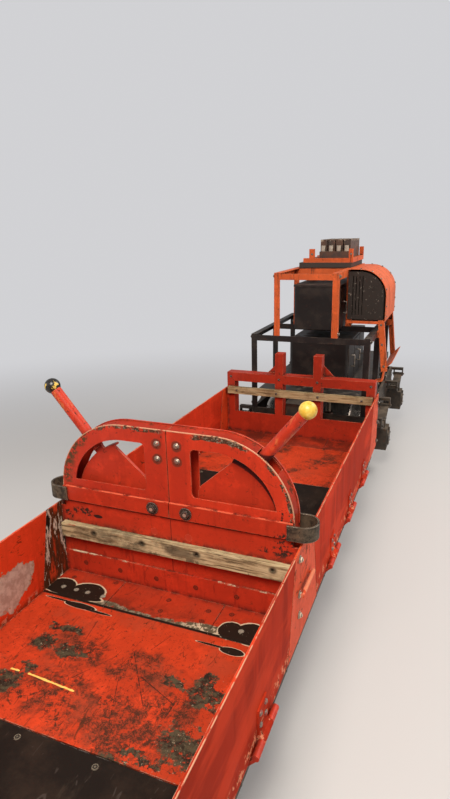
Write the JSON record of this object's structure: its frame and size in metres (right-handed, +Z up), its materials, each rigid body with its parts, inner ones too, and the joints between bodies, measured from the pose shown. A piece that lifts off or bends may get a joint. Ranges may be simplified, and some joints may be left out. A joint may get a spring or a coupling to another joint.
{
  "type": "electric mail train car",
  "caption": "Narrow-gauge driverless electric mail car: low body with open drop-side bays, a lever-locked divider, and a power truck with electrical equipment under each end.",
  "frame": {"origin": "middle of the car at the bottoms of the wheel flanges", "axes": "+Y along the car towards end a, +X to the right, +Z up"},
  "size_m": [1.1844, 8.23, 1.775],
  "materials": {
    "body_paint": "worn satin",
    "floor_paint": "scratched satin",
    "floor_dark": "worn matte",
    "truck_black": "greasy",
    "motor_iron": "greasy",
    "wheel_steel": "worn",
    "bolt_steel": "dull",
    "timber": "weathered",
    "hoop_strap": "matte",
    "ball_yellow": "satin",
    "ball_black": "chipped satin",
    "equipment_orange": "satin",
    "resistor_black": "matte",
    "switch_brown": "dull",
    "case_black": "satin",
    "collector_steel": "worn"
  },
  "bodies": {
    "centre_body": {"solebars": "truck_black", "cross_members": "truck_black", "headstocks": "truck_black", "pivot_beams": "truck_black", "floor_plates": "floor_paint", "centre_floor_plates": "floor_dark", "transition_plates": "floor_paint", "divider_plates": "body_paint", "divider_rims": "body_paint", "divider_panels": "body_paint", "divider_bolts": "bolt_steel", "battens": "timber", "hoops": "hoop_strap", "corner_plates": "body_paint", "bulkheads": "body_paint", "hinge_butts": "body_paint"},
    "flap_right_a": {"flap_right_a": "body_paint"},
    "flap_right_b": {"flap_right_b": "body_paint"},
    "flap_left_a": {"flap_left_a": "body_paint"},
    "flap_left_b": {"flap_left_b": "body_paint"},
    "lever_right": {"quadrant_right": "body_paint", "ball_right": "ball_yellow"},
    "lever_left": {"quadrant_left": "body_paint", "ball_left": "ball_black"},
    "truck_a": {"truck_frame_a": "truck_black", "running_gear_a": "truck_black", "brake_gear_a": "truck_black", "motor_a": "motor_iron", "lower_frame_a": "case_black", "upper_frame_a": "equipment_orange", "switch_cradle_a": "equipment_orange", "hood_a": "equipment_orange", "resistors_a": "resistor_black", "switchgear_a": "switch_brown", "control_case_a": "case_black", "coupler_a": "truck_black", "collector_a": "collector_steel"},
    "wheelset_a1": {"wheelset_a1": "wheel_steel"},
    "wheelset_a2": {"wheelset_a2": "wheel_steel"},
    "truck_b": {"truck_frame_b": "truck_black", "running_gear_b": "truck_black", "brake_gear_b": "truck_black", "motor_b": "motor_iron", "lower_frame_b": "case_black", "upper_frame_b": "equipment_orange", "switch_cradle_b": "equipment_orange", "hood_b": "equipment_orange", "resistors_b": "resistor_black", "switchgear_b": "switch_brown", "control_case_b": "case_black", "coupler_b": "truck_black", "collector_b": "collector_steel"},
    "wheelset_b1": {"wheelset_b1": "wheel_steel"},
    "wheelset_b2": {"wheelset_b2": "wheel_steel"}
  },
  "joints": [
    {"name": "flap_right_a_hinge", "type": "hinge", "parent": "centre_body", "child": "flap_right_a", "pos_m": [0.556, 0.975, 0.388], "axis": [0, 1, 0], "range_deg": [0, 95]},
    {"name": "flap_right_b_hinge", "type": "hinge", "parent": "centre_body", "child": "flap_right_b", "pos_m": [0.556, -0.975, 0.388], "axis": [0, 1, 0], "range_deg": [0, 95]},
    {"name": "flap_left_a_hinge", "type": "hinge", "parent": "centre_body", "child": "flap_left_a", "pos_m": [-0.556, 0.975, 0.388], "axis": [0, -1, 0], "range_deg": [0, 95]},
    {"name": "flap_left_b_hinge", "type": "hinge", "parent": "centre_body", "child": "flap_left_b", "pos_m": [-0.556, -0.975, 0.388], "axis": [0, -1, 0], "range_deg": [0, 95]},
    {"name": "lever_right_pivot", "type": "hinge", "parent": "centre_body", "child": "lever_right", "pos_m": [0.077, 0, 0.695], "axis": [0, 1, 0], "range_deg": [0, 6]},
    {"name": "lever_left_pivot", "type": "hinge", "parent": "centre_body", "child": "lever_left", "pos_m": [-0.077, 0, 0.695], "axis": [0, -1, 0], "range_deg": [0, 6]},
    {"name": "truck_a_pivot", "type": "hinge", "parent": "centre_body", "child": "truck_a", "pos_m": [0, 3.05, 0.53], "axis": [0, 0, 1], "range_deg": [-8, 8]},
    {"name": "wheelset_a1_axle", "type": "hinge", "parent": "truck_a", "child": "wheelset_a1", "pos_m": [0, 2.5, 0.279], "axis": [1, 0, 0], "continuous": true},
    {"name": "wheelset_a2_axle", "type": "hinge", "parent": "truck_a", "child": "wheelset_a2", "pos_m": [0, 3.6, 0.279], "axis": [1, 0, 0], "continuous": true},
    {"name": "truck_b_pivot", "type": "hinge", "parent": "centre_body", "child": "truck_b", "pos_m": [0, -3.05, 0.53], "axis": [0, 0, 1], "range_deg": [-8, 8]},
    {"name": "wheelset_b1_axle", "type": "hinge", "parent": "truck_b", "child": "wheelset_b1", "pos_m": [0, -2.5, 0.279], "axis": [1, 0, 0], "continuous": true},
    {"name": "wheelset_b2_axle", "type": "hinge", "parent": "truck_b", "child": "wheelset_b2", "pos_m": [0, -3.6, 0.279], "axis": [1, 0, 0], "continuous": true}
  ]
}
